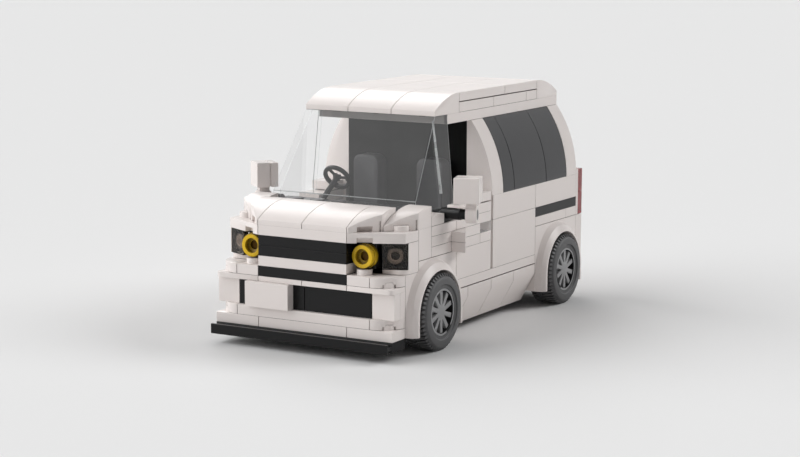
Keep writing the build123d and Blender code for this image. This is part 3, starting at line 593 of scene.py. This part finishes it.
@dataclass
class Screen(Assembly):
    """The windscreen: clear panes between grey cut edges, with a thin rib inside the left one."""

    title = "screen"
    node: str = "windscreen"
    edge_below: float = 1.0 * MM            # faces narrower than this are cut edges
    side_above: float = 40.0 * MM * MM      # area past which a face turned sideways is a side pane
    sideways: float = 0.7                   # share of a normal that points sideways there
    rail: float = 1.6 * MM                  # height of the foot, which stays clear
    head: float = 1.7 * MM                  # height of the head, painted grey as shade
    rib_foot: tuple[float, float, float] = (26.2 * MM, -24.2 * MM, 45.6 * MM)
    rib_head: tuple[float, float, float] = (24.0 * MM, -25.9 * MM, 68.6 * MM)
    rib_width: tuple[float, float] = (1.1 * MM, 0.4 * MM)   # at the foot and at the head
    rib_inset: tuple[float, float] = (1.5 * MM, 2.0 * MM)   # from the pane's outer side
    rib_back: float = 2.6 * MM              # from the line that parts the side panes' finishes

    @property
    def behind(self) -> Vector:
        """The way from the side panes' front wedge to their rear part."""
        foot, head = Vector(self.rib_foot), Vector(self.rib_head)
        return Vector((0, head.z - foot.z, foot.y - head.y)).normalized()

    def build(self) -> list[bpy.types.Object]:
        """Part the side panes, give each face its finish, and add the rib.

        Returns:
            The screen and its rib.
        """
        bm = moulded_mesh(self.node, Edge.PANE)
        sides = [f for f in bm.faces if abs(f.normal.x) > self.sideways and not self.is_narrow(f)]
        edges = list(dict.fromkeys(e for f in sides for e in f.edges))
        corners = list(dict.fromkeys(v for f in sides for v in f.verts))
        bmesh.ops.bisect_plane(bm, geom=sides + edges + corners, dist=MERGE,
                               plane_co=Vector(self.rib_foot), plane_no=self.behind)
        low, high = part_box(self.node)
        parts = list(ScreenPart)
        for face in bm.faces:
            face.material_index = parts.index(self.part_of(face, low, high))
        return [stand_in(self.node, bm, *(part.value for part in parts)), self.rib()]

    def is_narrow(self, face: bmesh.types.BMFace) -> bool:
        """Tell whether a face is as narrow as a cut edge."""
        return min(e.calc_length() for e in face.edges) < self.edge_below

    def part_of(self, face: bmesh.types.BMFace, low: Vector, high: Vector) -> ScreenPart:
        """Tell which part of the screen a face belongs to.

        Args:
            face: The face.
            low: The lowest corner of the screen's box.
            high: The highest corner of the screen's box.

        Returns:
            The part of the screen.
        """
        foot, head = Vector(self.rib_foot), Vector(self.rib_head)
        middle = face.calc_center_median()
        if middle.z > high.z - self.head:
            return ScreenPart.HEAD
        if abs(face.normal.x) > self.sideways and face.calc_area() > self.side_above:
            return ScreenPart.SIDE if (middle - foot).dot(self.behind) > 0 else ScreenPart.WEDGE
        half_width = high.x - (middle.z - foot.z) / (head.z - foot.z) * (foot.x - head.x)
        outside = abs(middle.x) > half_width - self.edge_below or middle.y < low.y + self.edge_below
        if self.is_narrow(face) and (outside or middle.x < 0) and middle.z > low.z + self.rail:
            return ScreenPart.CUT_EDGE
        return ScreenPart.FRONT

    def rib(self) -> bpy.types.Object:
        """Run a rib up the inside of the side pane at +X.

        Returns:
            The rib.
        """
        bm = bmesh.new()
        for (x, y, z), width in zip((self.rib_foot, self.rib_head), self.rib_width):
            for inset in self.rib_inset:
                for half in (-width / 2, width / 2):
                    bm.verts.new((x - inset, y + self.rib_back + half, z))
        bmesh.ops.convex_hull(bm, input=bm.verts[:])
        return add_trim("screen_rib", bm, SCREEN_EDGE)


@dataclass
class Seats(Assembly):
    """The two seats, with rounded shoulders."""

    title = "cabin"
    node: str = "seats"
    shoulder: float = 2.6 * MM
    shoulder_steps: int = 8
    level: float = 0.1 * MM     # edges no further than this below the top are shoulders

    def build(self) -> list[bpy.types.Object]:
        """Round the seats' upper corners widely and their other edges a little.

        Returns:
            The seats, as one piece.
        """
        bm = welded_mesh(self.node)
        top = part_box(self.node)[1].z - self.level
        shoulders = [e for e in bm.edges if min(v.co.z for v in e.verts) > top
                     and abs(e.verts[0].co.x - e.verts[1].co.x) < MERGE]
        round_edges(bm, shoulders, self.shoulder, self.shoulder_steps)
        round_edges(bm, sharp_edges(bm), Edge.ROUND.value * MM)
        return [stand_in(self.node, bm, SEAT)]


@dataclass
class RoofPlate(Assembly):
    """The plates under the roof, painted grey at the front as the shade of the slopes over the screen."""

    title = "roof"
    node: str = "roof_plates"
    ahead: float = 0.9          # share of a normal that points ahead at the front end

    def build(self) -> list[bpy.types.Object]:
        """Give the front ends the second finish, painted grey as shade.

        Returns:
            The plates, as one piece.
        """
        bm = moulded_mesh(self.node, Edge.BRICK)
        for face in bm.faces:
            face.material_index = int(-face.normal.y > self.ahead)
        return [stand_in(self.node, bm, WHITE, DIM)]


@dataclass
class LampHousings(Assembly):
    """The corner lamps' white bricks, with painted shade on the face that lies behind the smoky tile."""

    title = "lamps"
    node: str = "lamp_housings"
    yaw: float = 26.565         # how far each lamp turns outwards, in degrees
    ahead: float = 0.95         # share of a normal that points the lamp's way on its front
    stud: float = 1.6 * MM      # the face lies at least this far behind the stud's end

    def build(self) -> list[bpy.types.Object]:
        """Paint shade on the face behind each tile with the second finish, and leave the stud white.

        Returns:
            The housings, as one piece.
        """
        bm = moulded_mesh(self.node, Edge.CRISP)
        for side in (-1, 1):
            way = Vector((side * sin(radians(self.yaw)), -cos(radians(self.yaw)), 0))
            fronts = [f for f in bm.faces
                      if f.calc_center_median().x * side > 0 and f.normal.dot(way) > self.ahead]
            stud_end = max(f.calc_center_median().dot(way) for f in fronts)
            for face in fronts:
                face.material_index = int(stud_end - face.calc_center_median().dot(way) > self.stud)
        return [stand_in(self.node, bm, WHITE, SHADED)]


@dataclass
class LampBores(Assembly):
    """A brown disc of painted shade set in each round lamp's open bore."""

    title = "lamps"
    ring: str = "lamp_rings"
    outer: float = 3.9 * MM     # radius of a ring's flange
    radius: float = 1.4 * MM
    depth: float = 0.4 * MM
    steps: int = 32

    def build(self) -> list[bpy.types.Object]:
        """Set a brown disc of painted shade at the end of each bore.

        Returns:
            The two discs.
        """
        low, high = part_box(self.ring)
        discs = []
        for side, name in ((1, "l"), (-1, "r")):
            bm = bmesh.new()
            place = Vector((side * (high.x - self.outer), high.y - self.depth, (low.z + high.z) / 2))
            lie = Matrix.Translation(place) @ Matrix.Rotation(pi / 2, 4, "X")
            bmesh.ops.create_cone(bm, cap_ends=True, segments=self.steps, radius1=self.radius,
                                  radius2=self.radius, depth=self.depth, matrix=lie)
            discs.append(add_trim(f"lamp_bore_shade_{name}", bm, BORE))
        return discs


def white(*nodes: str, edge: Edge = Edge.BRICK) -> tuple[tuple[str, Finish, Edge], ...]:
    """Name nodes that are warm white bricks."""
    return tuple((node, WHITE, edge) for node in nodes)


def black(*nodes: str, edge: Edge = Edge.BRICK) -> tuple[tuple[str, Finish, Edge], ...]:
    """Name nodes that are black bricks."""
    return tuple((node, BLACK, edge) for node in nodes)


BODYWORK = (
    BrickWork("nose", black("splitter", "bumper_grille", "bumper_core", "grille_black", "nose_core")
              + white("bumper_rows", "number_plate", "bumper_ends", "bumper_shelf", "bumper_upper",
                      "grille_white")),
    BrickWork("lamps", (("lamp_rings", YELLOW, Edge.BRICK), ("lamp_covers", SMOKE, Edge.CRISP))
              + black("lamp_blocks")),
    BrickWork("hood", white("wing_plates", "hood_slopes", "cowl")),
    BrickWork("sides", white("wing_rows", "sill_tiles", "sills", "front_doors", "door_blocks",
                             "rear_doors", "belt_panels", "quarter_rows", "pillars", "arches")
              + black("side_stripes")
              + (("door_handles", SCREEN, Edge.CRISP), ("side_windows", WINDOW, Edge.PANE))),
    BrickWork("roof", white("roof_rows", "roof_tiles", "roof_front", "roof_rear")),
    BrickWork("cabin", black("dashboard", "wheel_wells", "floor_plates", "axle_holders")
              + (("bulkhead", WALL, Edge.BRICK),) + black("steering_wheel", edge=Edge.ROUND)),
    BrickWork("mirrors", black("mirror_arms") + white("mirror_clips")
              + white("mirror_heads", edge=Edge.SOFT)),
    BrickWork("tail", white("tailgate", "tail_brackets", "rear_bumper")
              + (("tail_lamps", RED, Edge.CRISP),)),
)


# ---------------------------------------------------------------- wheels
CORNERS = ("fl", "fr", "rl", "rr")


def spun(section: Sequence[tuple[float, float]], steps: int) -> bmesh.types.BMesh:
    """Spin a closed section about X.

    Args:
        section: Corners of the section: place along X, and radius.
        steps: How many flats go round.

    Returns:
        The closed ring.
    """
    bm = bmesh.new()
    corners = [bm.verts.new((x, 0, r)) for x, r in section]
    edges = [bm.edges.new((a, b)) for a, b in zip(corners, corners[1:] + corners[:1])]
    bmesh.ops.spin(bm, geom=corners + edges, cent=(0, 0, 0), axis=(1, 0, 0), angle=2 * pi,
                   steps=steps, use_merge=True, use_normal_flip=False)
    bmesh.ops.remove_doubles(bm, verts=bm.verts, dist=MERGE)
    bmesh.ops.recalc_face_normals(bm, faces=bm.faces)
    return bm


def seat_on_wheel(bm: bmesh.types.BMesh, corner: str, width: float) -> None:
    """Move a shape made about X, outer face at zero, to a wheel's place.

    Args:
        bm: The shape.
        corner: Which wheel: its second letter is l or r.
        width: The tyre's width, which sets where the outer wall is.
    """
    low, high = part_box(f"tyre_{corner}")
    centre = (low + high) / 2
    left = corner.endswith("l")
    outer = centre.x + (width / 2 if left else -width / 2)
    if not left:
        bmesh.ops.rotate(bm, cent=(0, 0, 0), matrix=Matrix.Rotation(pi, 3, "Z"), verts=bm.verts)
    bmesh.ops.translate(bm, vec=(outer, centre.y, centre.z), verts=bm.verts)


@dataclass
class Rim(Assembly):
    """A ten-spoked wheel; its barrel is painted dark as the tyre's shade."""

    title = "wheels"
    corner: str
    barrel: float = 6.5 * MM    # faces further out than this belong to the barrel

    def build(self) -> list[bpy.types.Object]:
        """Copy the rim and give the barrel's faces the second finish, painted dark as shade.

        Returns:
            The rim.
        """
        node = f"rim_{self.corner}"
        bm = moulded_mesh(node, Edge.BRICK)
        low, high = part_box(node)
        middle = (low + high) / 2
        for face in bm.faces:
            place = face.calc_center_median() - middle
            face.material_index = int(hypot(place.y, place.z) > self.barrel)
        return [stand_in(node, bm, GREY, GREY_SHADED, body=f"wheel_{self.corner}")]


@dataclass
class Tyre(Assembly):
    """A rubber tyre: a spun carcass under two rows of narrow slanted ribs."""

    title = "wheels"
    corner: str
    outer: float = 12.0 * MM
    base: float = 11.25 * MM       # bottom of the tread
    bead: float = 7.42 * MM
    width: float = 10.0 * MM
    ledge: float = 8.6 * MM        # outer radius of the sunk ring beside the rim
    # The sunk ring's wall: how deep each corner lies behind the outer face, and how far past the ledge.
    ring_wall: tuple[tuple[float, float], ...] = (
        (0.5 * MM, -0.25 * MM), (0.35 * MM, -0.05 * MM), (0.12 * MM, 0.0), (0.03 * MM, 0.1 * MM))
    # The shoulder: how deep each corner lies behind the outer face, and how far below the outer radius.
    shoulder: tuple[tuple[float, float], ...] = (
        (0.03 * MM, 1.45 * MM), (0.12 * MM, 1.25 * MM), (0.4 * MM, 1.0 * MM))
    tread_start: float = 0.9 * MM  # how deep the tread's bottom starts
    ribs: int = 52
    rib_gap: float = 0.45          # share of each pitch that is open
    rib_span: tuple[float, float] = (0.3 * MM, 4.85 * MM)   # from the outer wall inwards
    rib_root: float = 0.5 * MM     # how far a rib reaches into the carcass
    rib_inset: float = 0.03 * MM   # keeps the ribs' corners inside the outer radius
    rib_ease: float = 0.16         # share of a rib's length over which its outer end slopes
    slant: float = 16.0            # degrees
    steps: int = 116
    smooth_below: float = 35.0

    def carcass(self) -> bmesh.types.BMesh:
        """Spin the tyre's section about X, outer wall at zero.

        Returns:
            The tyre without its ribs.
        """
        section = [(-self.ring_wall[0][0], self.bead)]
        section += [(-depth, self.ledge + past) for depth, past in self.ring_wall]
        section += [(-depth, self.outer - drop) for depth, drop in self.shoulder]
        section += [(-self.tread_start, self.base)]
        return spun(section + [(-self.width - x, r) for x, r in reversed(section)], self.steps)

    def add_ribs(self, bm: bmesh.types.BMesh) -> None:
        """Stand a slanted rib on each step of both halves of the tread.

        Args:
            bm: The carcass, which the ribs are added to.
        """
        pitch = 2 * pi / self.ribs
        start, stop = self.rib_span
        middle, length = (start + stop) / 2, stop - start
        thick = self.outer * pitch * (1 - self.rib_gap)
        tall = self.outer - self.base + self.rib_root
        size = Matrix.Diagonal((length, thick, tall, 1))
        rise = self.outer - tall / 2 - self.rib_inset
        # Each row's middle, the way that its outer ends face, and the share of a pitch that it lags.
        for across, outward, lag in ((-middle, 1, 0.0), (middle - self.width, -1, 0.5)):
            lean = Matrix.Rotation(radians(outward * self.slant), 4, "Z")
            for k in range(self.ribs):
                made = bmesh.ops.create_cube(bm, size=1.0)["verts"]
                for vert in made:
                    if vert.co.z > 0 and vert.co.x * outward > 0:
                        vert.co.x -= outward * self.rib_ease
                place = Matrix.Rotation(pitch * (k + lag), 4, "X") @ Matrix.Translation((across, 0, rise))
                bmesh.ops.transform(bm, matrix=place @ lean @ size, verts=made)

    def build(self) -> list[bpy.types.Object]:
        """Make the tyre in its place on its wheel.

        Returns:
            The tyre.
        """
        bm = self.carcass()
        self.add_ribs(bm)
        seat_on_wheel(bm, self.corner, self.width)
        return [stand_in(f"tyre_{self.corner}", bm, RUBBER, body=f"wheel_{self.corner}",
                         made="treaded", smooth_below=self.smooth_below)]


def main() -> None:
    """Build the studio, then every sub-assembly of the van, and note the sizes."""
    logging.basicConfig(level=logging.INFO, format="%(name)s %(message)s")
    bpy.context.scene.view_settings.view_transform = "Standard"
    Studio().build()
    ShotCamera().build()
    assemblies: list[Assembly] = [*BODYWORK, Screen(), Seats(), RoofPlate(), LampHousings(), LampBores()]
    for corner in CORNERS:
        assemblies += [Rim(corner), Tyre(corner)]
    for assembly in assemblies:
        for piece in assembly.build():
            LOG.info("%s: %s, %d faces", assembly.title, piece.name, len(piece.data.polygons))


if __name__ == "__main__":
    main()
